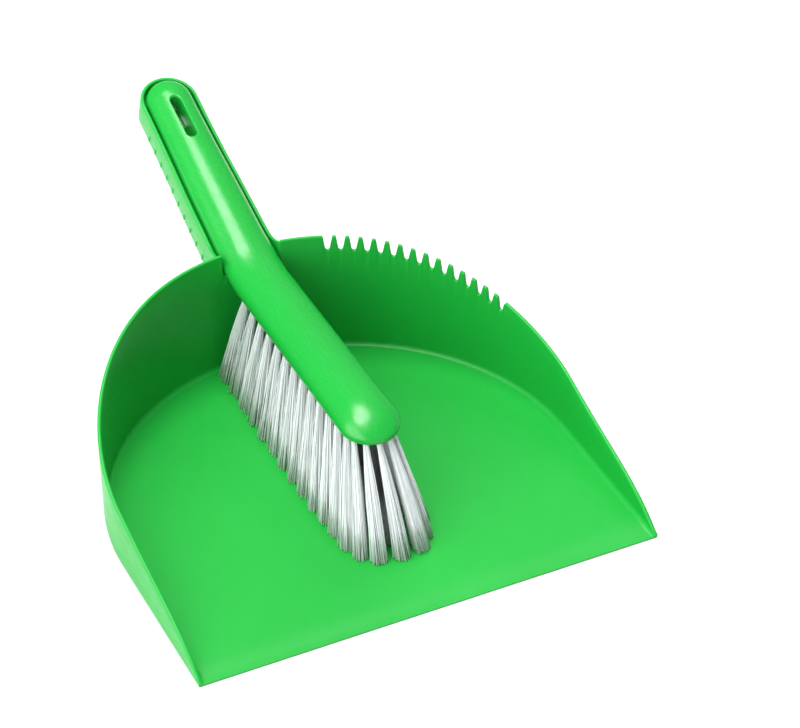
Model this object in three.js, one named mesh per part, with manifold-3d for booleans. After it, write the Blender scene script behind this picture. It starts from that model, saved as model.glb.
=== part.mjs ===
// Dust pan with its hand brush laid in it. Millimetres, +Z up, +Y from the front lip to the handle end.
// Dimensions are from the middle of the pan's front lip, on the ground. The finished set is moved back by
// half its length, so that its origin is on the ground in the middle of its overall box.
import * as THREE from "three";
import { mergeVertices } from "three/addons/utils/BufferGeometryUtils.js";
import Module from "manifold-3d";

const wasm = await Module();
wasm.setup();

// ---------- driving dimensions ----------
// Dust pan
const PAN_RADIUS = 151.7; // of the half-round back, outside, at the ground
const PAN_FRONT_HALF = 150; // half the width over the front corners
const PAN_ROUND_Y = 115.6; // where the sides turn into the half-round back
const PAN_WALL = 2.4;
const PAN_FLOOR = 2.6;
const DRAFT = Math.tan(THREE.MathUtils.degToRad(1)); // the walls lean out so the pan leaves its mould
const INNER_FILLET = 3;
const OUTER_ROUND = 1.2;
const LIP_BAND = 13; // the floor tapers to the ground over this strip
const LIP_EDGE = 0.8;
const BACK_SEGMENTS = 60; // facets round the half-round back
// Height of the rim above the ground along the pan, as y, z
const RIM_LINE = [
  [0, 2.2], [5, 5.6], [12, 9.8], [25, 15.8], [45, 22.3], [67, 28], [95, 35.4],
  [122, 43.5], [150, 52.6], [177, 62.2], [205, 72.6], [228, 80.8], [248, 86.6], [260, 88.6], [272, 89.2],
];

// Comb in the right rear rim, used to clean the bristles
const COMB_NOTCHES = 15;
const COMB_FIRST = 70.6; // degrees round the back from +X, first notch beside the handle
const COMB_PITCH = 3.23;
const NOTCH_DEPTH = 10.5; // beside the handle
const NOTCH_DEPTH_LAST = 8.5;
const NOTCH_TOP = 5.9;
const NOTCH_BOTTOM = 3;

// Line of the two handles: it leaves the block's crown here and rises at this angle
const KINK_Y = 256;
const KINK_Z = 85;
const RISE = THREE.MathUtils.degToRad(19.4);
const BEND_RADIUS = 70;

// Brush body
const BRUSH_TIP_Y = 74;
const BRUSH_HALF = 18.75; // half the width of the block
// Half the width of the brush handle, by distance along its line
const GRIP_LINE = [[12, 18.75], [25, 17.6], [45, 17.3], [71, 16.9], [100, 16.1], [128, 15.7]];
const NOSE_FROM = 105.5; // the crown is rounded down to the nose from here
const NOSE_ARC = 48;
const BLOCK_HEIGHT = 15;
const CROWN = 12; // height of the rounded top
const HANDLE_LENGTH = 163.5; // from the kink to the round end
const HANDLE_END_HEIGHT = 14.2;
const SHELL = 2.4;
const HOLLOW_FROM = 22; // the handle is hollow from here to just short of its round end
const SLOT_FROM = 108;
const SLOT_TO = 143;
const SLOT_WIDTH = 7.2;
const SLOT_COLLAR = 1.8;
const SLOT_COLLAR_FOOT = -24; // the pan handle's collar ends this far off the crown line

// Pan handle: a trough that the brush handle drops into
const SIDE_GAP = 1.5;
const SEAT_GAP = 0.4;
// The trough's upper edge, in the handle's line and across it off the brush handle's crown
const EDGE_LINE = [[32, -10.6], [50, -10.9], [90, -10.8], [130, -9.9], [172, -8.5]];
const SKIRT_AT_WALL = [-4, -34]; // lower edge of the side walls, in the same lines
const SKIRT_AT_END = [160, -27.5];
const CROSS_RIB = 1.8;
const CROSS_RIB_PITCH = 22;
const GRIP_START = 22;
const GRIP_TALL = 6;
const GRIP_PITCH = 11;
const GRIP_RIBS = 11;

// Bristle tufts
const ROW_X = 11.5;
const ROW_START_Y = 99;
const ROW_PITCH = 12.2;
const ROW_TUFTS = 13;
const ROW_TIP_X = 24; // the outer rows spread this far by the floor
const ROW_TIP_BULGE = 1.8; // and this much more halfway along
const LEAN_FRONT = 29.5; // how far forwards the first tufts of the rows lean
const LEAN_LOST = 34; // how much of that is gone by the last ones
const LEAN_CURVE = 1.6;
const NOSE_RADIUS = 12.5; // the nose tufts stand on an arc about the nose's centre
const TUFT_RADIUS = 2;
const HOLE_GAP = 0.3;
const HOLE_DEPTH = 9;
const BLOCK_UNDER_Z = KINK_Z - BLOCK_HEIGHT;
const END_HALF = GRIP_LINE.at(-1)[1];
const TRIM_Z = PAN_FLOOR + 0.3;

const GREEN = 0x2dd24f;
const BRISTLE = 0xdfe8e6;

// ---------- helpers ----------
const TWO_PI = Math.PI * 2;
const up = new THREE.Vector3(0, 0, 1);
const handleAlong = new THREE.Vector3(0, Math.cos(RISE), Math.sin(RISE));
const handleAcross = new THREE.Vector3(0, -Math.sin(RISE), Math.cos(RISE));

// Side view: shape x, y become world y, z, and the depth runs along +X.
const sideView = new THREE.Matrix4().makeBasis(
  new THREE.Vector3(0, 1, 0), up, new THREE.Vector3(1, 0, 0),
);
// Handle plan: shape x, y become world x and the handle's line, and the depth runs off its crown.
const handlePlan = new THREE.Matrix4()
  .makeBasis(new THREE.Vector3(1, 0, 0), handleAlong, handleAcross)
  .setPosition(0, KINK_Y, KINK_Z);

function solidOf(geometry) {
  const bare = geometry.clone();
  bare.deleteAttribute("normal");
  bare.deleteAttribute("uv");
  const merged = mergeVertices(bare, 1e-4);
  return new wasm.Manifold(new wasm.Mesh({
    numProp: 3,
    vertProperties: merged.attributes.position.array,
    triVerts: new Uint32Array(merged.index.array),
  }));
}

function meshOf(name, solid, color, roughness) {
  const m = solid.getMesh();
  const geometry = new THREE.BufferGeometry()
    .setAttribute("position", new THREE.BufferAttribute(new Float32Array(m.vertProperties), 3))
    .setIndex(new THREE.BufferAttribute(new Uint32Array(m.triVerts), 1));
  geometry.computeVertexNormals();
  const material = new THREE.MeshStandardMaterial({ color, roughness, metalness: 0 });
  const mesh = new THREE.Mesh(geometry, material);
  mesh.name = name;
  return mesh;
}

// A prism of a closed outline, from depth a to depth b, placed by a frame.
function prism(points, a, b, frame) {
  const shape = Array.isArray(points) ? new THREE.Shape(points) : points;
  const geometry = new THREE.ExtrudeGeometry(shape, {
    depth: b - a, bevelEnabled: false, curveSegments: 10,
  });
  geometry.translate(0, 0, a).applyMatrix4(frame);
  return solidOf(geometry);
}

function sidePrism(pairs, halfWidth) {
  return prism(pairs.map(([y, z]) => new THREE.Vector2(y, z)), -halfWidth, halfWidth, sideView);
}

// A closed skin over convex rings of points, each turning anticlockwise about the direction of travel.
function loft(rings) {
  const n = rings[0].length;
  const position = rings.flat().flatMap((p) => [p.x, p.y, p.z]);
  const index = [];
  for (let r = 0; r + 1 < rings.length; r++) {
    for (let i = 0; i < n; i++) {
      const a = r * n + i;
      const b = r * n + ((i + 1) % n);
      index.push(a, b, b + n, a, b + n, a + n);
    }
  }
  const last = (rings.length - 1) * n;
  for (let i = 1; i + 1 < n; i++) {
    index.push(0, i + 1, i);
    index.push(last, last + i, last + i + 1);
  }
  const geometry = new THREE.BufferGeometry();
  geometry.setAttribute("position", new THREE.Float32BufferAttribute(position, 3));
  geometry.setIndex(index);
  return solidOf(geometry);
}

// A point in the handle's own lines: side, along from the kink, across off the crown line.
function onHandle(x, along, across) {
  return new THREE.Vector3(x, KINK_Y, KINK_Z)
    .addScaledVector(handleAlong, along)
    .addScaledVector(handleAcross, across);
}

function sideOf(along, across) {
  const p = onHandle(0, along, across);
  return [p.y, p.z];
}

// ---------- dust pan ----------
// The pan's plan at one height: straight sides and a half-round back, moved out by an offset.
function panRing(offset, z, frontY) {
  const radius = PAN_RADIUS + offset;
  const front = PAN_FRONT_HALF + offset;
  const ring = [new THREE.Vector3(-front, frontY, z), new THREE.Vector3(front, frontY, z)];
  for (let i = 0; i <= BACK_SEGMENTS; i++) {
    const a = (Math.PI * i) / BACK_SEGMENTS;
    ring.push(new THREE.Vector3(radius * Math.cos(a), PAN_ROUND_Y + radius * Math.sin(a), z));
  }
  return ring;
}

function panShell() {
  const top = 110;
  const outside = loft([
    panRing(-OUTER_ROUND, 0, 0),
    panRing(-OUTER_ROUND * 0.3, OUTER_ROUND * 0.3, 0),
    panRing(OUTER_ROUND * DRAFT, OUTER_ROUND, 0),
    panRing(top * DRAFT, top, 0),
  ]);
  const fillet = [0, 30, 60, 90].map((degrees) => {
    const a = THREE.MathUtils.degToRad(degrees);
    const z = PAN_FLOOR + INNER_FILLET * (1 - Math.cos(a));
    return panRing(z * DRAFT - PAN_WALL - INNER_FILLET * (1 - Math.sin(a)), z, -20);
  });
  const inside = loft([...fillet, panRing(top * DRAFT - PAN_WALL, top, -20)]);
  const lip = sidePrism(
    [[-20, LIP_EDGE - 1.2], [0, LIP_EDGE], [LIP_BAND * 0.5, LIP_EDGE + 1.2], [LIP_BAND, PAN_FLOOR],
      [LIP_BAND, PAN_FLOOR + 9], [-20, PAN_FLOOR + 9]],
    PAN_FRONT_HALF - PAN_WALL - 0.6,
  );
  const rim = new THREE.SplineCurve(RIM_LINE.map(([y, z]) => new THREE.Vector2(y, z)))
    .getPoints(28).map((p) => [p.x, p.y]);
  const above = sidePrism([[-20, rim[0][1]], ...rim, [300, 89.2], [300, 150], [-20, 150]], 250);
  return outside.subtract(inside).subtract(lip).subtract(above);
}

// The notches between the comb's teeth, each a tapered slot with a rounded root.
function combNotches() {
  const cutters = [];
  const half = NOTCH_TOP / 2;
  const root = NOTCH_BOTTOM / 2;
  for (let k = 0; k < COMB_NOTCHES; k++) {
    const a = THREE.MathUtils.degToRad(COMB_FIRST - COMB_PITCH * k);
    const radius = PAN_RADIUS;
    const depth = THREE.MathUtils.lerp(NOTCH_DEPTH, NOTCH_DEPTH_LAST, k / (COMB_NOTCHES - 1));
    const foot = readLine(RIM_LINE, PAN_ROUND_Y + radius * Math.sin(a)) - depth;
    const slot = new THREE.Shape();
    slot.moveTo(half + 0.6, depth + 3);
    slot.lineTo(-half - 0.6, depth + 3);
    slot.lineTo(-root, root);
    slot.absarc(0, root, root, Math.PI, TWO_PI, false);
    slot.closePath();
    const frame = new THREE.Matrix4()
      .makeBasis(new THREE.Vector3(-Math.sin(a), Math.cos(a), 0), up,
        new THREE.Vector3(Math.cos(a), Math.sin(a), 0))
      .setPosition(radius * Math.cos(a), PAN_ROUND_Y + radius * Math.sin(a), foot);
    cutters.push(prism(slot, -6, 6, frame));
  }
  return cutters.reduce((all, one) => all.add(one));
}

// Height or width read off a line of points at one place, level beyond its ends.
function readLine(line, at) {
  const i = line.findIndex((p) => p[0] > at);
  if (i <= 0) {
    return line.at(i)[1];
  }
  const [x0, y0] = line[i - 1];
  const [x1, y1] = line[i];
  return y0 + ((y1 - y0) * (at - x0)) / (x1 - x0);
}

// Plan of the handles: sides that draw in a little and a round end, grown by an offset.
function handleOutline(offset, from) {
  const half = END_HALF + offset;
  const centre = HANDLE_LENGTH - END_HALF;
  const sides = GRIP_LINE.map(([along, width]) => [along, width + offset]);
  const outline = new THREE.Shape();
  outline.moveTo(sides[0][1], from);
  for (const [along, width] of sides) {
    outline.lineTo(width, along);
  }
  outline.lineTo(half, centre);
  outline.absarc(0, centre, half, 0, Math.PI, false);
  for (const [along, width] of sides.reverse()) {
    outline.lineTo(-width, along);
  }
  outline.lineTo(-sides.at(-1)[1], from);
  outline.closePath();
  return outline;
}

function handleHeight(along) {
  return THREE.MathUtils.lerp(BLOCK_HEIGHT, HANDLE_END_HEIGHT, along / HANDLE_LENGTH);
}

function slotOutline(offset) {
  const half = SLOT_WIDTH / 2 + offset;
  const outline = new THREE.Shape();
  outline.absarc(0, SLOT_TO - SLOT_WIDTH / 2, half, 0, Math.PI, false);
  outline.absarc(0, SLOT_FROM + SLOT_WIDTH / 2, half, Math.PI, TWO_PI, false);
  return outline;
}

// Lower edge of the trough's side walls.
function skirt(along) {
  const [a0, t0] = SKIRT_AT_WALL;
  const [a1, t1] = SKIRT_AT_END;
  return t0 + ((t1 - t0) * (along - a0)) / (a1 - a0);
}

function trough() {
  const outerOffset = SIDE_GAP + PAN_WALL;
  const end = HANDLE_LENGTH + outerOffset + 4;
  const profile = [
    [264.2, 60.5], [264.2, 88.8], [268, 86.9], [274, 84], [281, 82.8],
    ...EDGE_LINE.map(([along, across]) => sideOf(along, across)),
    sideOf(end, skirt(end)), sideOf(4, skirt(4)), [264.2, 53],
  ];
  return prism(handleOutline(outerOffset, -30), -60, 20, handlePlan)
    .intersect(sidePrism(profile, 40));
}

// Room for the brush handle, which also cuts its saddle in the pan's back wall.
function troughChannel() {
  const end = HANDLE_LENGTH + 10;
  const seat = (along) => -handleHeight(along) - SEAT_GAP;
  const profile = [
    [235, BLOCK_UNDER_Z - 0.3], [256, BLOCK_UNDER_Z - 0.3], [262, BLOCK_UNDER_Z + 0.4],
    sideOf(BEND_RADIUS * Math.tan(RISE / 2), seat(12)), sideOf(end, seat(end)), sideOf(end, 60),
    [235, 150],
  ];
  return prism(handleOutline(SIDE_GAP, -60), -60, 60, handlePlan).intersect(sidePrism(profile, 40));
}

// The hollow under the trough's floor, crossed by ribs.
function troughHollow() {
  const end = HANDLE_LENGTH + SIDE_GAP;
  const roof = (along) => -handleHeight(along) - SEAT_GAP - PAN_WALL;
  const start = 17;
  const profile = [
    sideOf(start, -60), sideOf(end, -60), sideOf(end, roof(end)), sideOf(start, roof(start)),
  ];
  let room = prism(handleOutline(SIDE_GAP, -60), -60, 60, handlePlan)
    .intersect(sidePrism(profile, 40));
  for (let at = start + CROSS_RIB_PITCH; at < end - 12; at += CROSS_RIB_PITCH) {
    const rib = [
      [-30, at], [30, at], [30, at + CROSS_RIB], [-30, at + CROSS_RIB],
    ].map(([x, y]) => new THREE.Vector2(x, y));
    room = room.subtract(prism(rib, -60, 60, handlePlan));
  }
  return room;
}

// Short upright ribs low on both sides of the pan handle, for the fingers.
function gripRibs() {
  const parts = [];
  for (const side of [-1, 1]) {
    for (let k = 0; k < GRIP_RIBS; k++) {
      const along = GRIP_START + GRIP_PITCH * k;
      const face = readLine(GRIP_LINE, along) + SIDE_GAP + PAN_WALL;
      const low = skirt(along) + 0.4;
      const rib = [[side * (face - 1), along - 1.1], [side * (face + 0.8), along - 0.5],
        [side * (face + 0.8), along + 0.5], [side * (face - 1), along + 1.1]]
        .map(([x, y]) => new THREE.Vector2(x, y));
      parts.push(prism(side > 0 ? rib : rib.reverse(), low, low + GRIP_TALL, handlePlan));
    }
  }
  return parts.reduce((all, one) => all.add(one));
}

function dustPan() {
  const slot = prism(slotOutline(0), -60, 60, handlePlan);
  const seat = -handleHeight(SLOT_FROM) - SEAT_GAP;
  const collar = prism(slotOutline(SLOT_COLLAR), SLOT_COLLAR_FOOT, seat, handlePlan);
  const whole = panShell()
    .subtract(combNotches())
    .add(trough())
    .subtract(troughHollow().subtract(collar.intersect(trough())))
    .subtract(troughChannel())
    .add(gripRibs())
    .subtract(slot);
  return meshOf("dust_pan", whole, GREEN, 0.35);
}

// ---------- brush body ----------
// One cross-section: a half-elliptic crown on short upright sides and a flat underside.
function brushSection(origin, across, half, height, drop) {
  const ring = [];
  const crown = CROWN - drop;
  for (let i = 0; i <= 12; i++) {
    const a = Math.PI * (i / 12);
    ring.push([half * Math.cos(a), crown * Math.sin(a) - CROWN]);
  }
  ring.push([-half * 0.975, -height], [half * 0.975, -height]);
  return ring.reverse()
    .map(([x, t]) => new THREE.Vector3(x, origin.y, origin.z).addScaledVector(across, t));
}

// How far the crown has come down at one place of the nose.
function noseDrop(y) {
  const over = Math.max(0, NOSE_FROM - y);
  return NOSE_ARC - Math.sqrt(NOSE_ARC ** 2 - over ** 2);
}

// Stations from the block's round nose to the handle's round end.
function brushStations() {
  const stations = [];
  const end = [85, 72, 60, 48, 36, 24, 12, 0].map(THREE.MathUtils.degToRad);
  const noseStation = (y, half) => {
    stations.push([new THREE.Vector3(0, y, KINK_Z), up, half, BLOCK_HEIGHT, noseDrop(y)]);
  };
  for (const a of end) {
    noseStation(BRUSH_TIP_Y + BRUSH_HALF * (1 - Math.sin(a)), BRUSH_HALF * Math.cos(a));
  }
  noseStation((BRUSH_TIP_Y + BRUSH_HALF + NOSE_FROM) / 2, BRUSH_HALF);
  noseStation(NOSE_FROM, BRUSH_HALF);
  const tangent = BEND_RADIUS * Math.tan(RISE / 2);
  for (let i = 0; i <= 5; i++) {
    const a = (RISE * i) / 5;
    const origin = new THREE.Vector3(0, KINK_Y - tangent + BEND_RADIUS * Math.sin(a),
      KINK_Z + BEND_RADIUS * (1 - Math.cos(a)));
    const across = new THREE.Vector3(0, -Math.sin(a), Math.cos(a));
    stations.push([origin, across, BRUSH_HALF, handleHeight(tangent * (i / 5)), 0]);
  }
  for (const [along, half] of GRIP_LINE.slice(1)) {
    stations.push([onHandle(0, along, 0), handleAcross, half, handleHeight(along), 0]);
  }
  for (const a of end.reverse()) {
    const along = HANDLE_LENGTH - END_HALF * (1 - Math.sin(a));
    stations.push([onHandle(0, along, 0), handleAcross, END_HALF * Math.cos(a), handleHeight(along),
      CROWN * (1 - Math.cos(a)) * 0.95]);
  }
  return stations;
}

function brushOutside() {
  return loft(brushStations().map((s) => brushSection(...s)));
}

// The hollow inside the brush handle, open underneath.
function brushHollow() {
  const rings = [];
  const ring = (along, width, drop) => {
    const points = [];
    const crown = CROWN - SHELL - drop;
    for (let i = 0; i <= 12; i++) {
      const a = Math.PI * (i / 12);
      points.push(onHandle(width * Math.cos(a), along, crown * Math.sin(a) - CROWN));
    }
    points.push(onHandle(-width, along, -30), onHandle(width, along, -30));
    return points.reverse();
  };
  rings.push(ring(HOLLOW_FROM, readLine(GRIP_LINE, HOLLOW_FROM) - SHELL, 0));
  for (const [along, half] of GRIP_LINE.slice(1)) {
    rings.push(ring(along, half - SHELL, 0));
  }
  const half = END_HALF - SHELL;
  for (const degrees of [0, 20, 40, 60, 75]) {
    const a = THREE.MathUtils.degToRad(degrees);
    rings.push(ring(HANDLE_LENGTH - END_HALF + half * Math.sin(a), half * Math.cos(a),
      (CROWN - SHELL) * (1 - Math.cos(a)) * 0.95));
  }
  return loft(rings);
}

function brushBody(tufts) {
  const collar = prism(slotOutline(SLOT_COLLAR), -40, 20, handlePlan);
  const holes = tufts.map((t) => tuftHole(t)).reduce((all, one) => all.add(one));
  const whole = brushOutside()
    .subtract(brushHollow().subtract(collar))
    .subtract(prism(slotOutline(0), -60, 60, handlePlan))
    .subtract(holes);
  return meshOf("brush_body", whole, GREEN, 0.35);
}

// ---------- bristle tufts ----------
// Each tuft: its name, the middle of its hole's mouth, where its trimmed end stands, and how far that end spreads.
function tuftPlan() {
  const plan = [];
  const place = (name, x, y, toX, toY, spreadX, spreadY) => plan.push({
    name,
    root: new THREE.Vector3(x, y, BLOCK_UNDER_Z),
    tip: new THREE.Vector3(toX, toY, TRIM_Z),
    spreadX,
    spreadY,
  });
  const share = (y) => Math.max(0, y - ROW_START_Y) / (ROW_PITCH * (ROW_TUFTS - 1));
  // Where a tuft of the rows ends up along the block: forwards at the front, back a little at the rear.
  const landing = (y) => y - LEAN_FRONT + LEAN_LOST * share(y) ** LEAN_CURVE;
  const spreadAt = (y) => Math.min(8, 0.235 * (landing(y + ROW_PITCH) - landing(y - ROW_PITCH)));
  for (let i = 0; i < ROW_TUFTS; i++) {
    const y = ROW_START_Y + ROW_PITCH * i;
    const out = ROW_TIP_X + ROW_TIP_BULGE * Math.sin(Math.PI * share(y));
    for (const [side, label] of [[-1, "left"], [1, "right"]]) {
      place(`tuft_${label}_${i + 1}`, side * ROW_X, y, side * out, landing(y), 6.8, spreadAt(y));
    }
    if (i + 1 < ROW_TUFTS) {
      const middle = y + ROW_PITCH / 2;
      place(`tuft_middle_${i + 1}`, 0, middle, 0, landing(middle), 8, spreadAt(middle));
    }
  }
  const noseY = BRUSH_TIP_Y + BRUSH_HALF;
  place("tuft_nose_middle", 0, noseY - 0.3, 0, 61.3, 8, 6);
  for (const [label, degrees, toX, toY, spread] of [
    ["left_side", -72, -21.5, 57.5, 4.9], ["left_front", -36, -13, 50, 5.6], ["front", 0, 0.8, 47.5, 5.6],
    ["right_front", 36, 14.5, 48.5, 5.6], ["right_side", 72, 21.8, 58, 4.9],
  ]) {
    const a = THREE.MathUtils.degToRad(degrees);
    place(`tuft_nose_${label}`, NOSE_RADIUS * Math.sin(a), noseY - NOSE_RADIUS * Math.cos(a),
      toX, toY, spread, spread);
  }
  return plan;
}

function tuftAxis(t) {
  return t.tip.clone().sub(t.root).normalize();
}

// A ring round a tuft's line, in level planes so the trimmed end is flat on the floor.
function tuftRing(centre, radiusX, radiusY) {
  const ring = [];
  for (let i = 0; i < 10; i++) {
    const a = (TWO_PI * i) / 10;
    ring.push(new THREE.Vector3(radiusX * Math.cos(a), radiusY * Math.sin(a), 0).add(centre));
  }
  return ring;
}

function tuft(t) {
  const axis = tuftAxis(t);
  const length = t.tip.distanceTo(t.root);
  const at = (distance) => t.root.clone().addScaledVector(axis, distance);
  const rings = [tuftRing(t.tip, t.spreadX, t.spreadY)];
  for (const share of [0.62, 0.3]) {
    rings.push(tuftRing(at(length * share),
      THREE.MathUtils.lerp(TUFT_RADIUS, t.spreadX, share ** 0.85),
      THREE.MathUtils.lerp(TUFT_RADIUS, t.spreadY, share ** 0.85)));
  }
  rings.push(tuftRing(at(0.6), TUFT_RADIUS, TUFT_RADIUS));
  rings.push(tuftRing(at(-(HOLE_DEPTH - 0.8)), TUFT_RADIUS, TUFT_RADIUS));
  return meshOf(t.name, loft(rings), BRISTLE, 0.6);
}

function tuftHole(t) {
  const axis = tuftAxis(t);
  const at = (distance) => t.root.clone().addScaledVector(axis, distance);
  const radius = (TUFT_RADIUS + HOLE_GAP) * 1.03;
  return loft([
    tuftRing(at(3), radius, radius),
    tuftRing(at(-HOLE_DEPTH), radius, radius),
  ]);
}

// ---------- assembly ----------
const handleEnd = HANDLE_LENGTH + SIDE_GAP + PAN_WALL;
const overallLength = sideOf(handleEnd, skirt(handleEnd))[0];
const set = new THREE.Group();
set.name = "dust_pan_and_brush_set";
set.position.y = -overallLength / 2;
const tufts = tuftPlan();
set.add(dustPan());
set.add(brushBody(tufts));
for (const t of tufts) {
  set.add(tuft(t));
}

export default set;
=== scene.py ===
"""Looks for the dust pan and brush set.

Smooth mouldings with rounded edges, bristles as single filaments, and a soft studio. Shapes are
written in millimetres from the pan's front lip (x to the comb's side, y to the handles, z up), and
to_frame turns them into the frame's metres. Places on the handles are given along their slope and
across it, from the kink.
"""
import math
import random

import bmesh
import bpy
import numpy as np
from mathutils import Matrix, Vector


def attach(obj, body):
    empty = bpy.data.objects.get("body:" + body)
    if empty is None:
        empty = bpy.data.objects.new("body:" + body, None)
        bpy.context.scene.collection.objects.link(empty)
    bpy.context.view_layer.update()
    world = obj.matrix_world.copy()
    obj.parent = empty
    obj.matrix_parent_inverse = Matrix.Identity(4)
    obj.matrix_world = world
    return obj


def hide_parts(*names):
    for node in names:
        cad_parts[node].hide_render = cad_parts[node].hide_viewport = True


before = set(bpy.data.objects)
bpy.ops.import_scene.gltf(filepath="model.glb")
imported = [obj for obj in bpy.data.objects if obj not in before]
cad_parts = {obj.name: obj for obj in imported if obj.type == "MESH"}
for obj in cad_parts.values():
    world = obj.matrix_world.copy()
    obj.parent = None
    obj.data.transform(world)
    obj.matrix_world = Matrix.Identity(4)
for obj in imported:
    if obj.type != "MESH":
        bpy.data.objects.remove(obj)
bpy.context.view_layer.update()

MM = 0.001
SHARP = math.radians(38)      # an edge that turns more than this stays crisp
RISE = math.radians(19.4)
COS, SIN = math.cos(RISE), math.sin(RISE)
KINK_Y, KINK_Z = 256.0, 85.0
HALF_LENGTH = 211.4662        # from the front lip to the frame's origin

# pan
RADIUS, FRONT_HALF, ROUND_Y = 151.7, 150.0, 115.6
WALL, FLOOR = 2.4, 2.6
DRAFT = math.tan(math.radians(1.0))
LIP_BAND, LIP_EDGE = 13.0, 0.8
RIM_EDGE_R, FLOOR_FILLET, FOOT_R = 1.05, 3.0, 1.2
RIM_Y = [0, 5, 12, 25, 45, 67, 95, 122, 150, 177, 205, 228, 248, 260, 272]
RIM_Z = [2.2, 5.6, 9.8, 15.8, 22.3, 28, 35.4, 43.5, 52.6, 62.2, 72.6, 80.8, 86.6, 88.6, 89.2]
MID_WALL_R = 150.5            # the comb is spaced along the middle of the wall
NOTCHES, NOTCH_FIRST, NOTCH_STEP = 15, 70.6, 3.23
NOTCH_DEEP, NOTCH_SHALLOWER, NOTCH_R, NOTCH_FLARE = 10.5, 2.0, 1.5, 0.171
NOTCH_SOFT = 0.5              # rounds a notch into the rim

# handles and brush
HALF = 18.75
HANDLE, END_HALF = 163.5, 15.7
GRIP_AT, GRIP_HALF = [12, 25, 45, 71, 100, 128], [18.75, 17.6, 17.3, 16.9, 16.1, 15.7]
CROWN = 12.0
BLOCK_H, END_H = 15.0, 14.2
SIDE_GAP, SEAT_GAP = 1.5, 0.4
LEAN_LEVEL = 12.3             # where the trough's upright first station meets the handle's own lines
BEND = 70.0
TIP_Y = 74.0
NOSE_FROM, NOSE_ARC = 105.5, 48.0
UNDER_Z = KINK_Z - BLOCK_H
SLOT_FROM, SLOT_TO, SLOT_W, COLLAR = 108.0, 143.0, 7.2, 1.8
BRUSH_WALL = 2.4
SADDLE_R, SADDLE_GAP = 150.6, 0.3
SADDLE_EDGE = math.degrees(math.acos((HALF + SIDE_GAP) / SADDLE_R))   # where the brush passes the back wall

# the pan's handle
TROUGH_FILLET, TROUGH_EDGE_R = 1.6, 1.0
SWEEP_AT = [5.5, 8.4, 14.8, 22.2, 30.6, 45, 90, 130, 170]
SWEEP_TOP = [0.1, -2.2, -6.9, -10.1, -10.75, -10.9, -10.8, -9.9, -8.5]
SKIRT_FROM, SKIRT_LENGTH, SKIRT_LOW, SKIRT_RISE = -4, 164, -34, 6.5
BAR_BITE, SEAT_BITE = 0.4, 1  # how far a bar runs into the sides and the seat
RIB_FROM, RIB_PITCH, RIB_THICK, RIB_LAST = 17, 22, 1.8, 156
BEADS, BEAD_FROM, BEAD_PITCH, BEAD_TALL = 11, 22, 11, 6.0

# tufts
ROW_START, ROW_PITCH, ROW_COUNT, ROW_X = 99.0, 12.2, 13, 11.5
NOSE_R = 12.5
NOSE_TUFTS = (                # name, hole's angle, landing point, spread
    ("left_side", -72, -21.5, 57.5, 4.9),
    ("left_front", -36, -13, 50, 5.6),
    ("front", 0, 0.8, 47.5, 5.6),
    ("right_front", 36, 14.5, 48.5, 5.6),
    ("right_side", 72, 21.8, 58, 4.9),
)
TUFT_GAP, TRIM_GAP = 0.3, 0.4  # over the pan's floor
HOLE = ((3, 2.8), (0.35, 2.4), (-9, 2.3))   # distance down the tuft and radius: a flared mouth, 9 mm deep


# ---------- mesh helpers ----------
def to_frame(points):
    """Millimetres from the front lip to metres in the row frame."""
    p = np.asarray(points, float).reshape(-1, 3).copy()
    p[:, 1] -= HALF_LENGTH
    return p * MM


def make(name, points, faces):
    mesh = bpy.data.meshes.new(name)
    mesh.from_pydata([tuple(v) for v in to_frame(points)], [], faces)
    mesh.validate()
    obj = bpy.data.objects.new(name, mesh)
    bpy.context.scene.collection.objects.link(obj)
    mesh.polygons.foreach_set("use_smooth", [True] * len(mesh.polygons))
    return obj


def recalc(obj):
    bm = bmesh.new()
    bm.from_mesh(obj.data)
    bmesh.ops.remove_doubles(bm, verts=bm.verts, dist=1e-6)
    bmesh.ops.recalc_face_normals(bm, faces=bm.faces)
    bm.to_mesh(obj.data)
    bm.free()


def sharpen(obj):
    """Smooth shading that breaks at real edges."""
    mesh = obj.data
    mesh.polygons.foreach_set("use_smooth", [True] * len(mesh.polygons))
    bm = bmesh.new()
    bm.from_mesh(mesh)
    for e in bm.edges:
        e.smooth = not (e.is_manifold and e.calc_face_angle(0) > SHARP)
    bm.to_mesh(mesh)
    bm.free()


def grid_faces(rows, cols, closed=False, start=0):
    faces = []
    for r in range(rows - 1):
        for c in range(cols if closed else cols - 1):
            a = start + r * cols + c
            b = start + r * cols + (c + 1) % cols
            faces.append((a, b, b + cols, a + cols))
    return faces


def loft(name, rings):
    """A closed skin over rings of points."""
    n = len(rings[0])
    points = np.concatenate([np.asarray(r, float) for r in rings])
    faces = grid_faces(len(rings), n, closed=True)
    faces.append(tuple(range(n)))
    faces.append(tuple(range((len(rings) - 1) * n, len(rings) * n)))
    obj = make(name, points, faces)
    recalc(obj)
    return obj


def boolean(obj, cutter, operation="DIFFERENCE"):
    """Cuts or adds the second solid, which is used up."""
    modifier = obj.modifiers.new("cut", "BOOLEAN")
    modifier.operation = operation
    modifier.solver = "EXACT"
    modifier.use_self = operation == "UNION"
    modifier.object = cutter
    dg = bpy.context.evaluated_depsgraph_get()
    mesh = bpy.data.meshes.new_from_object(obj.evaluated_get(dg), depsgraph=dg)
    obj.modifiers.clear()
    obj.data = mesh
    bpy.data.objects.remove(cutter)
    return obj


def clean(obj):
    """Takes out the slivers that a boolean leaves."""
    bm = bmesh.new()
    bm.from_mesh(obj.data)
    bmesh.ops.remove_doubles(bm, verts=bm.verts, dist=2e-6)
    bmesh.ops.dissolve_degenerate(bm, dist=2e-6, edges=bm.edges)
    bmesh.ops.recalc_face_normals(bm, faces=bm.faces)
    bm.to_mesh(obj.data)
    bm.free()


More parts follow.
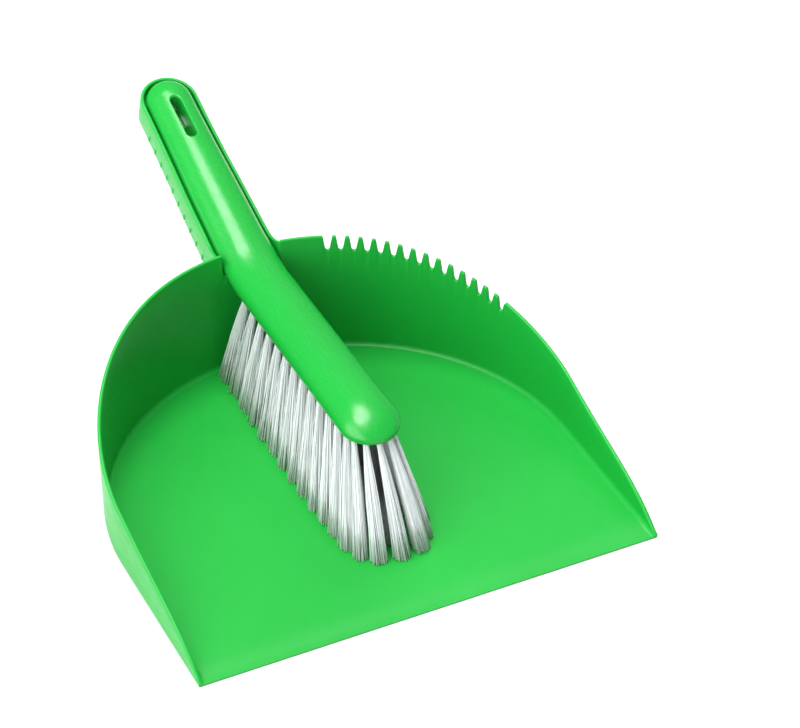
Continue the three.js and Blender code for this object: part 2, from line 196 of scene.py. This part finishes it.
def join(name, objects):
    """Several meshes as one piece."""
    bm = bmesh.new()
    for o in objects:
        bm.from_mesh(o.data)
        bpy.data.objects.remove(o)
    mesh = bpy.data.meshes.new(name)
    bm.to_mesh(mesh)
    bm.free()
    obj = bpy.data.objects.new(name, mesh)
    bpy.context.scene.collection.objects.link(obj)
    return obj


def smoothstep(t):
    t = np.clip(t, 0, 1)
    return t * t * (3 - 2 * t)


def on_handle(x, along, across):
    """A place on the handle's sloping lines, in the pan's millimetres."""
    return (x, KINK_Y + along * COS - across * SIN, KINK_Z + along * SIN + across * COS)


def handle_height(along):
    return BLOCK_H + (END_H - BLOCK_H) * along / HANDLE


def skirt(along):
    """Height of the lower edge of the pan handle's sides."""
    return SKIRT_LOW + SKIRT_RISE * (along - SKIRT_FROM) / SKIRT_LENGTH


def half_at(along):
    """Half the brush handle's width: it draws in behind the bend."""
    return float(np.mean([np.interp(along + d, GRIP_AT, GRIP_HALF) for d in (-5, -2.5, 0, 2.5, 5)]))


# ---------- dust pan ----------
def natural_spline(xs, ys):
    """The natural cubic through the points, as a function of x."""
    xs, ys = np.array(xs, float), np.array(ys, float)
    n = len(xs)
    h = np.diff(xs)
    a = np.zeros((n, n))
    b = np.zeros(n)
    a[0, 0] = a[-1, -1] = 1
    for i in range(1, n - 1):
        a[i, i - 1], a[i, i], a[i, i + 1] = h[i - 1], 2 * (h[i - 1] + h[i]), h[i]
        b[i] = 6 * ((ys[i + 1] - ys[i]) / h[i] - (ys[i] - ys[i - 1]) / h[i - 1])
    m = np.linalg.solve(a, b)

    def value(x):
        i = int(np.clip(np.searchsorted(xs, x) - 1, 0, n - 2))
        t, u = x - xs[i], xs[i + 1] - x
        return ((m[i] * u ** 3 + m[i + 1] * t ** 3) / (6 * h[i])
                + (ys[i] / h[i] - m[i] * h[i] / 6) * u + (ys[i + 1] / h[i] - m[i + 1] * h[i] / 6) * t)
    return value


rim_height = natural_spline(RIM_Y, RIM_Z)
sweep_line = natural_spline(SWEEP_AT, SWEEP_TOP)
sweep_steps = np.linspace(SWEEP_AT[0], SWEEP_AT[-1], 330)
sweep_heights = [sweep_line(v) for v in sweep_steps]


def floor_height(y):
    return LIP_EDGE + (FLOOR - LIP_EDGE) * float(smoothstep(y / (LIP_BAND + 3)))


def comb_cut(degrees, rim):
    """The rim's height where the comb's notches are cut into it."""
    height = rim
    for k in range(NOTCHES):
        centre = NOTCH_FIRST - NOTCH_STEP * k
        d = abs(degrees - centre) * math.pi / 180 * MID_WALL_R
        if d > 5:
            continue
        depth = NOTCH_DEEP - NOTCH_SHALLOWER * k / (NOTCHES - 1)
        foot = rim - depth
        if d < NOTCH_R:
            cut = foot + NOTCH_R - math.sqrt(max(0, NOTCH_R ** 2 - d * d))
        else:
            cut = foot + NOTCH_R + (d - NOTCH_R) / NOTCH_FLARE
        gap = max(NOTCH_SOFT - abs(cut - height), 0) / NOTCH_SOFT
        height = min(cut, height) - gap * gap * NOTCH_SOFT * 0.25
    return height


def pan_stations():
    """The stations round the wall, right side and left: a kind, and a distance or an angle."""
    half = [("side", y) for y in (0, 0.8, 2, 4, 6.5, 9.5, 13, 17, 22, 28, 36, 46, 58, 72, 87, 101, 115)]
    angles = list(np.arange(0, 24.5, 1.5)) + list(np.arange(24.5, 72.4, 0.16))
    angles += list(np.arange(72.6, 81.5, 1.0))
    angles += [SADDLE_EDGE + d for d in (-0.6, -0.3, -0.1, 0.05, 0.15, 0.45, 0.9)]
    angles += list(np.arange(SADDLE_EDGE + 2, 90.01, 1.0))
    right = half + [("arc", float(a)) for a in angles]
    left = [(kind, v if kind == "side" else 180 - v) for kind, v in reversed(right)]
    return right, left


def station_place(kind, v, side, offset):
    """A station's place in plan, moved outwards by an offset."""
    if kind == "side":
        width = FRONT_HALF + (RADIUS - FRONT_HALF) * v / ROUND_Y + offset
        return side * width, v
    a = math.radians(v)
    return (RADIUS + offset) * math.cos(a), ROUND_Y + (RADIUS + offset) * math.sin(a)


def basin():
    """The floor and wall as one skin; each profile runs from the floor over the rim to the underside."""
    right, left = pan_stations()
    stations = [(k, v, 1) for k, v in right] + [(k, v, -1) for k, v in left]
    rows = []
    for kind, v, side in stations:
        x, y = station_place(kind, v, side, -WALL / 2)
        rim = float(rim_height(min(y, 271)))
        if kind == "arc":
            rim = comb_cut(v, rim)
            if abs(v - 90) < 90 - SADDLE_EDGE:
                rim = UNDER_Z - SADDLE_GAP
        low = floor_height(y)
        rim = max(rim, low + 0.7)
        fillet = min(FLOOR_FILLET, (rim - low) * 0.55)
        edge_r = min(RIM_EDGE_R, (rim - low) * 0.3)
        profile = []
        for d in (0, 18, 36, 54, 72, 90):
            a = math.radians(d)
            profile.append((-WALL - fillet * (1 - math.sin(a)), low + fillet * (1 - math.cos(a))))
        top = rim - edge_r
        bottom = low + fillet
        for share in (0.25, 0.5, 0.75):
            profile.append((-WALL, bottom + (top - bottom) * share))
        for d in (0, 30, 60, 90):
            a = math.radians(d)
            profile.append((-WALL + edge_r * (1 - math.cos(a)), top + edge_r * math.sin(a)))
        for d in (90, 60, 30, 0):
            a = math.radians(d)
            profile.append((-edge_r * (1 - math.cos(a)), top + edge_r * math.sin(a)))
        foot = min(FOOT_R, rim * 0.4)
        for share in (0.7, 0.4, 0.12):
            profile.append((0.0, foot + (top - foot) * share))
        for d in (0, 30, 60, 90):
            a = math.radians(d)
            profile.append((-foot * (1 - math.cos(a)), foot * (1 - math.sin(a))))
        row = []
        for offset, z in profile:
            px, py = station_place(kind, v, side, offset + z * DRAFT)
            row.append((px, py, z))
        rows.append(row)
    n, m = len(rows), len(rows[0])
    points = [p for row in rows for p in row]
    faces = grid_faces(n, m)
    for i in range(n // 2 - 1):
        j = n - 1 - i
        a, b, c, d = i * m, (i + 1) * m, (j - 1) * m, j * m
        faces.append((a, d, c, b))
        faces.append((a + m - 1, b + m - 1, c + m - 1, d + m - 1))
    last = (n - 1) * m
    faces.append(tuple(range(m)) + tuple(last + k for k in reversed(range(m))))
    obj = make("basin", points, faces)
    recalc(obj)
    return obj


def trough_top(along):
    """Height of the trough's edge over the handle's line; near the wall it sweeps up into the rim."""
    return float(np.interp(along, sweep_steps, sweep_heights))


def trough():
    """The pan's handle as one skin round its sides and end, closed by the seat's two faces."""
    centre = HANDLE - END_HALF
    sides = (5.5, 7, 8.5, 10, 12, 14, 16, 18, 20, 22.5, 25, 28, 32, 37, 43, 50,
             60, 72, 84, 96, 108, 120, 130, 138)
    stations = [(1, s) for s in sides]
    stations += [(0, a) for a in np.linspace(0, 180, 37)]
    stations += [(-1, s) for s in reversed(sides)]
    rows = []
    for kind, v in stations:
        inner = (half_at(v) if kind else END_HALF) + SIDE_GAP

        def place(offset, across, kind=kind, v=v, inner=inner):
            if kind == 0:
                a = math.radians(v)
                r = inner + offset
                return on_handle(r * math.cos(a), centre + r * math.sin(a), across)
            lean = 1 - float(smoothstep((v - 5.5) / 60))
            along = v + lean * (across + LEAN_LEVEL) * math.tan(RISE)
            return on_handle(kind * (inner + offset), along, across)
        along = v if kind else centre + inner * math.sin(math.radians(v))
        seat = -handle_height(along) - SEAT_GAP
        under = seat - WALL
        top = trough_top(along)
        low = skirt(along)
        r, e = TROUGH_FILLET, TROUGH_EDGE_R
        profile = []
        for d in (0, 30, 60, 90):
            a = math.radians(d)
            profile.append((-r * (1 - math.sin(a)), seat + r * (1 - math.cos(a))))
        for d in (0, 30, 60, 90):
            a = math.radians(d)
            profile.append((e * (1 - math.cos(a)), top - e + e * math.sin(a)))
        for d in (90, 60, 30, 0):
            a = math.radians(d)
            profile.append((WALL - e * (1 - math.cos(a)), top - e + e * math.sin(a)))
        for d in (0, 30, 60, 90):
            a = math.radians(d)
            profile.append((WALL - e * (1 - math.cos(a)), low + e - e * math.sin(a)))
        for d in (90, 45, 0):
            a = math.radians(d)
            profile.append((e * (1 - math.cos(a)), low + e - e * math.sin(a)))
        for d in (90, 45, 0):
            a = math.radians(d)
            profile.append((-r * (1 - math.sin(a)), under - r * (1 - math.cos(a))))
        rows.append([place(o, t) for o, t in profile])
    n, m = len(rows), len(rows[0])
    points = [p for row in rows for p in row]
    faces = grid_faces(n, m)
    for i in range(n // 2):
        j = n - 1 - i
        for k, flip in ((0, False), (m - 1, True)):
            a, b, c, d = i * m + k, (i + 1) * m + k, (j - 1) * m + k, j * m + k
            face = [a, d, c, b]
            face = [x for q, x in enumerate(face) if x not in face[:q]]
            if len(face) > 2:
                faces.append(tuple(reversed(face)) if flip else tuple(face))
    last = (n - 1) * m
    faces.append(tuple(range(m)) + tuple(last + k for k in reversed(range(m))))
    obj = make("trough", points, faces)
    recalc(obj)
    return obj


def stadium(offset, across, count=14):
    """Ring of the hang slot, grown by an offset, at one depth off the handle's crown."""
    half = SLOT_W / 2 + offset
    ring = []
    for i in range(count + 1):
        a = math.pi * i / count
        ring.append(on_handle(half * math.cos(a), SLOT_TO - SLOT_W / 2 + half * math.sin(a), across))
    for i in range(count + 1):
        a = math.pi + math.pi * i / count
        ring.append(on_handle(half * math.cos(a), SLOT_FROM + SLOT_W / 2 + half * math.sin(a), across))
    return ring


def box_solid(name, corners_lo, corners_hi):
    """A bar across the handle's underside, in the handle's own lines."""
    (x0, s0, t0), (x1, s1, t1) = corners_lo, corners_hi
    corners = ((s0, t0), (s1, t0), (s1, t1), (s0, t1))
    return loft(name, [[on_handle(x, s, t) for s, t in corners] for x in (x0, x1)])


def grip_bead(side, along):
    """A small upright rib on the side of the pan's handle."""
    low = skirt(along) + 0.4
    face = side * (half_at(along) + SIDE_GAP + WALL)
    rings = []
    for i in range(7):
        v = -1 + 2 * i / 6
        size = math.sqrt(max(0.02, 1 - v * v * 0.97)) if abs(v) > 0.6 else 1
        ring = []
        for k in range(10):
            a = 2 * math.pi * k / 10
            x = face + 0.85 * size * math.cos(a) - side * 0.1
            across = low + BEAD_TALL / 2 + v * BEAD_TALL / 2
            ring.append(on_handle(x, along + 1.1 * size * math.sin(a), across))
        rings.append(ring)
    return loft("bead", rings)


def dust_pan():
    handle = trough()
    boss = loft("boss", [stadium(COLLAR, t) for t in (-17.0, -24.0)])
    handle = boolean(handle, boss, "UNION")
    flare = [(-60, 0), (-16.6, 0), (-16.2, 0.15), (-15.7, 0.5), (-15.3, 1.2), (-14, 1.6)]
    handle = boolean(handle, loft("slot", [stadium(o, t) for t, o in flare]))
    parts = [basin(), handle]
    inner = half_at(15) + SIDE_GAP + BAR_BITE
    high = -handle_height(15) - SEAT_GAP - SEAT_BITE
    parts.append(box_solid("gusset", (-inner, 15, skirt(15) + 0.2), (inner, 17, high)))
    parts.append(box_solid("gusset", (-inner, -1, skirt(0) + 0.8), (inner, 16.5, skirt(0) + 3)))
    for at in range(RIB_FROM + RIB_PITCH, RIB_LAST, RIB_PITCH):
        low = skirt(at) + 0.9
        inner = half_at(at) + SIDE_GAP + BAR_BITE
        high = -handle_height(at) - SEAT_GAP - SEAT_BITE
        parts.append(box_solid("rib", (-inner, at, low), (inner, at + RIB_THICK, high)))
    for side in (-1, 1):
        for k in range(BEADS):
            parts.append(grip_bead(side, BEAD_FROM + BEAD_PITCH * k))
    pan = join("pan_moulding", parts)
    sharpen(pan)
    return pan


# ---------- brush body ----------
def brush_ring(origin, across, half, height, drop, segments=44):
    """One section of the brush: an arched top over a flat underside with rounded corners."""
    crown = CROWN - drop
    ring = []
    for i in range(segments + 1):
        a = math.pi * i / segments
        ring.append((half * math.cos(a), crown * math.sin(a) - CROWN))
    r = min(0.9, half * 0.4)
    for d in (0, 30, 60, 90):
        a = math.radians(d)
        ring.append((-half * 0.975 + r * (1 - math.cos(a)), -height + r * (1 - math.sin(a))))
    for d in (90, 60, 30, 0):
        a = math.radians(d)
        ring.append((half * 0.975 - r * (1 - math.cos(a)), -height + r * (1 - math.sin(a))))
    y, z = origin
    return [(x, y + across[0] * t, z + across[1] * t) for x, t in ring]


def nose_drop(y):
    """The crown falls away towards the nose on a long arc."""
    return NOSE_ARC - math.sqrt(NOSE_ARC ** 2 - max(0.0, NOSE_FROM - y) ** 2)


def brush_shell():
    rings = []
    nose = [math.radians(d) for d in (87, 82, 76, 70, 64, 58, 52, 46, 40, 34, 28, 22, 16, 10, 5, 0)]
    for a in nose:
        y = TIP_Y + HALF - HALF * math.sin(a)
        rings.append(brush_ring((y, KINK_Z), (0, 1), HALF * math.cos(a), BLOCK_H, nose_drop(y)))
    tangent = BEND * math.tan(RISE / 2)
    for y in np.linspace(TIP_Y + HALF, KINK_Y - tangent, 60)[1:-1]:
        rings.append(brush_ring((y, KINK_Z), (0, 1), HALF, BLOCK_H, nose_drop(y)))
    for i in range(13):
        a = RISE * i / 12
        rings.append(brush_ring((KINK_Y - tangent + BEND * math.sin(a), KINK_Z + BEND * (1 - math.cos(a))),
                                (-math.sin(a), math.cos(a)), half_at(tangent * i / 12),
                                handle_height(tangent * i / 12), 0))
    for along in np.linspace(tangent, HANDLE - END_HALF, 70)[1:-1]:
        _, y, z = on_handle(0, along, 0)
        rings.append(brush_ring((y, z), (-SIN, COS), half_at(along), handle_height(along), 0))
    for a in reversed(nose):
        along = HANDLE - END_HALF * (1 - math.sin(a))
        _, y, z = on_handle(0, along, 0)
        rings.append(brush_ring((y, z), (-SIN, COS), END_HALF * math.cos(a), handle_height(along),
                                CROWN * (1 - math.cos(a)) * 0.95))
    return loft("brush_moulding", rings)


def brush_hollow():
    """What is taken out of the brush's handle from underneath."""
    rings = []
    end = END_HALF - BRUSH_WALL
    stops = [(at, half_at(at) - BRUSH_WALL, 0) for at in (22, 28, 36, 48, 62, 80, 98, 115, 130)]
    stops += [(HANDLE - END_HALF + end * math.sin(math.radians(d)), end * math.cos(math.radians(d)), d)
              for d in (0, 15, 30, 45, 60, 75)]
    for along, width, d in stops:
        crown = (CROWN - BRUSH_WALL) * (1 - (1 - math.cos(math.radians(d))) * 0.95)
        arch = [math.pi * i / 24 for i in range(25)]
        ring = [on_handle(width * math.cos(a), along, crown * math.sin(a) - CROWN) for a in arch]
        ring += [on_handle(-width, along, -30), on_handle(width, along, -30)]
        rings.append(ring)
    return loft("hollow", rings)


def tuft_plan():
    """Each tuft's name, hole mouth, landing point and spread."""
    plan = []

    def share(y):
        return max(0.0, y - ROW_START) / (ROW_PITCH * (ROW_COUNT - 1))

    def landing(y):
        return y - 29.5 + 34 * share(y) ** 1.6

    def spread(y):
        return min(8, 0.235 * (landing(y + ROW_PITCH) - landing(y - ROW_PITCH)))

    for i in range(ROW_COUNT):
        y = ROW_START + ROW_PITCH * i
        for side, label in ((-1, "left"), (1, "right")):
            out = 24 + 1.8 * math.sin(math.pi * share(y))
            plan.append((f"{label}_{i + 1}", (side * ROW_X, y), (side * out, landing(y)), 6.8, spread(y)))
        if i + 1 < ROW_COUNT:
            m = y + ROW_PITCH / 2
            plan.append((f"middle_{i + 1}", (0, m), (0, landing(m)), 8, spread(m)))
    nose_y = TIP_Y + HALF
    plan.append(("nose_middle", (0, nose_y - 0.3), (0, 61.3), 8, 6))
    for label, degrees, tx, ty, size in NOSE_TUFTS:
        a = math.radians(degrees)
        mouth = (NOSE_R * math.sin(a), nose_y - NOSE_R * math.cos(a))
        plan.append((f"nose_{label}", mouth, (tx, ty), size, size))
    return plan


def brush_body(plan):
    body = brush_shell()
    hollow = boolean(brush_hollow(), loft("collar", [stadium(COLLAR, t) for t in (-40, 20)]))
    body = boolean(body, hollow)
    flare = [(-40, 0), (-1.3, 0), (-0.85, 0.1), (-0.5, 0.38), (-0.3, 0.85), (0.3, 2.2), (3, 4)]
    body = boolean(body, loft("slot", [stadium(o, t) for t, o in flare]))
    holes = []
    for _, (x, y), (tx, ty), _, _ in plan:
        root = np.array((x, y, UNDER_Z))
        axis = np.array((tx, ty, FLOOR + TUFT_GAP)) - root
        axis /= np.linalg.norm(axis)
        rings = []
        for distance, r in HOLE:
            c = root + axis * distance
            turns = [k * math.pi / 8 for k in range(16)]
            rings.append([c + (r * math.cos(a), r * math.sin(a), 0) for a in turns])
        holes.append(loft("hole", rings))
    body = boolean(body, join("holes", holes))
    clean(body)
    body.name = "brush_moulding"
    sharpen(body)
    return body


# ---------- bristles ----------
FILAMENTS = 165
ROOT_R, TIP_R = 0.15, 0.275       # the ends are flagged, so they are the thicker
ROOT_DEPTH = 8                    # how far the filaments run into their hole


def bristle_tuft(label, root_xy, tip_xy, spread_x, spread_y, root_radius, rng):
    """One tuft as single filaments that leave one hole and fan out to the trimmed end."""
    root = np.array((*root_xy, UNDER_Z))
    tip = np.array((*tip_xy, FLOOR + TRIM_GAP))
    axis = (tip - root) / np.linalg.norm(tip - root)
    outward = np.array((tip_xy[0] - root_xy[0], tip_xy[1] - root_xy[1], 0.0))
    points, faces = [], []
    sides, steps = 4, 6
    for _ in range(FILAMENTS):
        share = rng.random() ** 0.42
        a = rng.random() * 2 * math.pi
        start = root - axis * ROOT_DEPTH + np.array((math.cos(a), math.sin(a), 0)) * share * root_radius
        mouth = start + axis * ROOT_DEPTH
        b = a + rng.gauss(0, 0.22)
        reach = min(1.0, share * rng.uniform(0.8, 1.1))
        end = tip + np.array((math.cos(b) * reach * spread_x, math.sin(b) * reach * spread_y, 0))
        end[2] += max(0.0, rng.gauss(0.2, 0.5))
        bow = outward * 0.04 + np.array((rng.gauss(0, 0.45), rng.gauss(0, 0.45), 0))
        thick = rng.uniform(0.85, 1.15)
        twist = rng.random() * math.pi
        base = len(points)
        for s in range(steps):
            u = max(0, s - 1) / (steps - 2)
            p = mouth + (end - mouth) * u + bow * math.sin(math.pi * u) if s else start
            r = thick * (ROOT_R + (TIP_R - ROOT_R) * u)
            for k in range(sides):
                t = twist + 2 * math.pi * k / sides
                points.append(p + np.array((math.cos(t) * r, math.sin(t) * r, 0)))
        faces += [face[::-1] for face in grid_faces(steps, sides, closed=True, start=base)]
        faces.append(tuple(base + k for k in range(sides)))
        faces.append(tuple(base + (steps - 1) * sides + k for k in reversed(range(sides))))
    return make(f"bristles_{label}", points, faces)


# ---------- materials ----------
WORN = (2.6, 1.15, 2.2)           # how much paler each channel is on a worn edge


class Nodes:
    """Short calls for a node tree."""

    def __init__(self, name):
        self.material = bpy.data.materials.new(name)
        self.material.use_nodes = True
        self.tree = self.material.node_tree
        self.tree.nodes.clear()
        self.out = self.tree.nodes.new("ShaderNodeOutputMaterial")

    def add(self, kind, **values):
        node = self.tree.nodes.new("ShaderNode" + kind)
        for key, value in values.items():
            if key in node.inputs:
                node.inputs[key].default_value = value
            else:
                setattr(node, key, value)
        return node

    def link(self, a, output, b, socket):
        self.tree.links.new(a.outputs[output], b.inputs[socket])

    def noise(self, coords, output, scale, detail=3.0, roughness=0.55):
        n = self.add("TexNoise", Scale=scale, Detail=detail, Roughness=roughness)
        self.link(coords, output, n, "Vector")
        return n

    def remap(self, source, output, low, high, to_low, to_high):
        n = self.add("MapRange")
        n.inputs["From Min"].default_value, n.inputs["From Max"].default_value = low, high
        n.inputs["To Min"].default_value, n.inputs["To Max"].default_value = to_low, to_high
        self.link(source, output, n, "Value")
        return n


def green_plastic(name, base, bright, rough_low, rough_high, specular):
    """Moulded polypropylene: fine satin grain, faint flow clouds, hairline scuffs and paler edges."""
    n = Nodes(name)
    coords = n.add("TexCoord")
    bsdf = n.add("BsdfPrincipled")
    bsdf.inputs["IOR"].default_value = 1.49
    bsdf.inputs["Specular IOR Level"].default_value = specular
    clouds = n.noise(coords, "Object", 9.0, 3.0)
    grain = n.noise(coords, "Object", 1400.0, 2.0)
    stretch = n.add("Mapping")
    stretch.inputs["Scale"].default_value = (420, 60, 420)
    n.link(coords, "Object", stretch, "Vector")
    scuffs = n.noise(stretch, "Vector", 1.0, 2.0)
    # colour
    mix = n.add("MixRGB")
    mix.inputs["Color1"].default_value = (*base, 1)
    mix.inputs["Color2"].default_value = (*bright, 1)
    spread = n.remap(clouds, "Fac", 0.3, 0.7, 0.0, 1.0)
    n.link(spread, "Result", mix, "Fac")
    geometry = n.add("NewGeometry")
    worn = n.remap(geometry, "Pointiness", 0.52, 0.62, 0.0, 0.35)
    edge = n.add("MixRGB")
    edge.inputs["Color2"].default_value = (*[min(1, c * k) for c, k in zip(bright, WORN)], 1)
    n.link(mix, "Color", edge, "Color1")
    n.link(worn, "Result", edge, "Fac")
    n.link(edge, "Color", bsdf, "Base Color")
    # roughness
    rough = n.remap(scuffs, "Fac", 0.35, 0.75, rough_low, rough_high)
    n.link(rough, "Result", bsdf, "Roughness")
    # bump
    height = n.add("Math", operation="MULTIPLY_ADD")
    n.link(grain, "Fac", height, 0)
    height.inputs[1].default_value = 0.6
    fine = n.remap(scuffs, "Fac", 0.3, 0.8, 0.0, 0.04)
    n.link(fine, "Result", height, 2)
    bump = n.add("Bump", Strength=0.12, Distance=0.0001)
    n.link(height, "Value", bump, "Height")
    n.link(bump, "Normal", bsdf, "Normal")
    n.link(bsdf, "BSDF", n.out, "Surface")
    return n.material


def bristle_material(name, tip_shade, root_shade, tip_z, root_z):
    """Pale drawn filament: each a little different, satin, and painted darker along its height, from
    tip_shade at tip_z to root_shade at root_z.
    """
    n = Nodes(name)
    bsdf = n.add("BsdfPrincipled", Roughness=0.42)
    bsdf.inputs["Sheen Weight"].default_value = 0.35
    bsdf.inputs["Sheen Roughness"].default_value = 0.4
    geometry = n.add("NewGeometry")
    coords = n.add("TexCoord")
    ramp = n.add("ValToRGB")
    ramp.color_ramp.elements[0].color = (0.92, 0.97, 1.0, 1)
    ramp.color_ramp.elements[1].color = (0.96, 0.99, 1.0, 1)
    ramp.color_ramp.elements[1].position = 0.5
    n.link(geometry, "Random Per Island", ramp, "Fac")
    streak = n.noise(coords, "Object", 260.0, 2.0)
    shade = n.remap(streak, "Fac", 0.3, 0.7, 0.95, 1.0)
    place = n.add("SeparateXYZ")
    n.link(coords, "Object", place, "Vector")
    # painted shade: the colour is darkened along the filament's height, between tip_z and root_z
    painted_shade = n.remap(place, "Z", tip_z, root_z, tip_shade, root_shade)
    both = n.add("Math", operation="MULTIPLY")
    n.link(shade, "Result", both, 0)
    n.link(painted_shade, "Result", both, 1)
    mix = n.add("MixRGB", blend_type="MULTIPLY")
    mix.inputs["Fac"].default_value = 1.0
    n.link(ramp, "Color", mix, "Color1")
    n.link(both, "Value", mix, "Color2")
    n.link(mix, "Color", bsdf, "Base Color")
    rough = n.remap(streak, "Fac", 0.3, 0.7, 0.34, 0.5)
    n.link(rough, "Result", bsdf, "Roughness")
    bump = n.add("Bump", Strength=0.15, Distance=0.00005)
    n.link(streak, "Fac", bump, "Height")
    n.link(bump, "Normal", bsdf, "Normal")
    through = n.add("BsdfTranslucent")
    n.link(mix, "Color", through, "Color")
    surface = n.add("MixShader", Fac=0.12)
    n.link(bsdf, "BSDF", surface, 1)
    n.link(through, "BSDF", surface, 2)
    n.link(surface, "Shader", n.out, "Surface")
    return n.material


def ground_material():
    n = Nodes("studio_floor")
    bsdf = n.add("BsdfPrincipled")
    coords = n.add("TexCoord")
    cloud = n.noise(coords, "Object", 3.0, 2.0)
    mix = n.add("MixRGB")
    mix.inputs["Color1"].default_value = (0.86, 0.86, 0.86, 1)
    mix.inputs["Color2"].default_value = (0.88, 0.88, 0.88, 1)
    n.link(cloud, "Fac", mix, "Fac")
    n.link(mix, "Color", bsdf, "Base Color")
    bsdf.inputs["Roughness"].default_value = 0.8
    n.link(bsdf, "BSDF", n.out, "Surface")
    return n.material


# ---------- build ----------
GREEN = (0.008, 0.343, 0.034)
GREEN_BRIGHT = (0.010, 0.374, 0.041)
BRUSH_GREEN = (0.009, 0.333, 0.035)
BRUSH_GREEN_BRIGHT = (0.010, 0.362, 0.040)

pan_material = green_plastic("pan_polypropylene", GREEN, GREEN_BRIGHT, 0.33, 0.45, 0.32)
brush_material = green_plastic("brush_polypropylene", BRUSH_GREEN, BRUSH_GREEN_BRIGHT, 0.23, 0.33, 0.5)
# outer filaments turn a little darker towards their tips; the inner rows carry painted shade, darkening to
# a tenth towards their roots, for the shade between the bundles
outer_filament = bristle_material("bristle_filament", 0.88, 1.0, 0.006, 0.04)
inner_filament = bristle_material("bristle_filament_inner", 0.9, 0.1, 0.008, 0.036)

pan = dust_pan()
pan.data.materials.append(pan_material)
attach(pan, "pan")
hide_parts("dust_pan")

plan = tuft_plan()
body = brush_body(plan)
body.data.materials.append(brush_material)
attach(body, "brush")
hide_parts("brush_body")

rng = random.Random(41)
for label, root_xy, tip_xy, spread_x, spread_y in plan:
    inner = "middle" in label
    fan, root_radius = (0.62, 1.3) if inner else (0.98, 1.35) if "nose" in label else (1.0, 1.65)
    tuft = bristle_tuft(label, root_xy, tip_xy, spread_x * fan, spread_y * fan, root_radius, rng)
    # the middle rows take the material with painted shade at their roots
    tuft.data.materials.append(inner_filament if inner else outer_filament)
    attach(tuft, "brush")
    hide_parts("tuft_" + label)

# ---------- studio ----------
ground_mesh = bpy.data.meshes.new("ground")
ground_mesh.from_pydata([(-6, -6, 0), (6, -6, 0), (6, 6, 0), (-6, 6, 0)], [], [(0, 1, 2, 3)])
ground = bpy.data.objects.new("ground", ground_mesh)
bpy.context.scene.collection.objects.link(ground)
ground.location.z = -0.0003
ground.data.materials.append(ground_material())


def lamp(name, place, target, size, power):
    data = bpy.data.lights.new(name, "AREA")
    data.shape = "DISK"
    data.size = size
    data.energy = power
    obj = bpy.data.objects.new(name, data)
    obj.location = place
    obj.rotation_euler = (Vector(target) - Vector(place)).to_track_quat("-Z", "Y").to_euler()
    bpy.context.scene.collection.objects.link(obj)
    return obj


lamp("top", (0.0, 0.22, 1.85), (0, 0, 0.05), 1.0, 31)
lamp("left", (-1.7, -0.5, 1.35), (0, 0, 0.03), 2.9, 75)
fill = lamp("back_right", (1.15, 1.25, 1.4), (0, 0, 0.05), 1.8, 25)
fill.visible_glossy = False       # it only lifts the shade, with no streak of its own on the gloss

world = bpy.data.worlds.new("studio")
bpy.context.scene.world = world
world.use_nodes = True
background = world.node_tree.nodes["Background"]
background.inputs["Color"].default_value = (0.93, 0.98, 1.0, 1)
background.inputs["Strength"].default_value = 0.24

camera_data = bpy.data.cameras.new("camera")
camera_data.sensor_width = 36
camera_data.lens = 112.8
camera_data.clip_start, camera_data.clip_end = 0.05, 30
camera = bpy.data.objects.new("camera", camera_data)
bpy.context.scene.collection.objects.link(camera)
azimuth, elevation, roll = math.radians(-27.15), math.radians(37.42), math.radians(1.32)
distance = 1.6496
back = Vector((math.sin(azimuth) * math.cos(elevation), -math.cos(azimuth) * math.cos(elevation),
               math.sin(elevation)))
level = Vector((math.cos(azimuth), math.sin(azimuth), 0))
upright = back.cross(level)
right_axis = level * math.cos(roll) + upright * math.sin(roll)
up_axis = upright * math.cos(roll) - level * math.sin(roll)
aim = Vector((0.0852, 0.00877, 0.0))
camera.matrix_world = Matrix.Translation(aim + back * distance) @ Matrix(
    (right_axis, up_axis, back)).transposed().to_4x4()
bpy.context.scene.camera = camera
bpy.context.scene.view_settings.view_transform = "Standard"
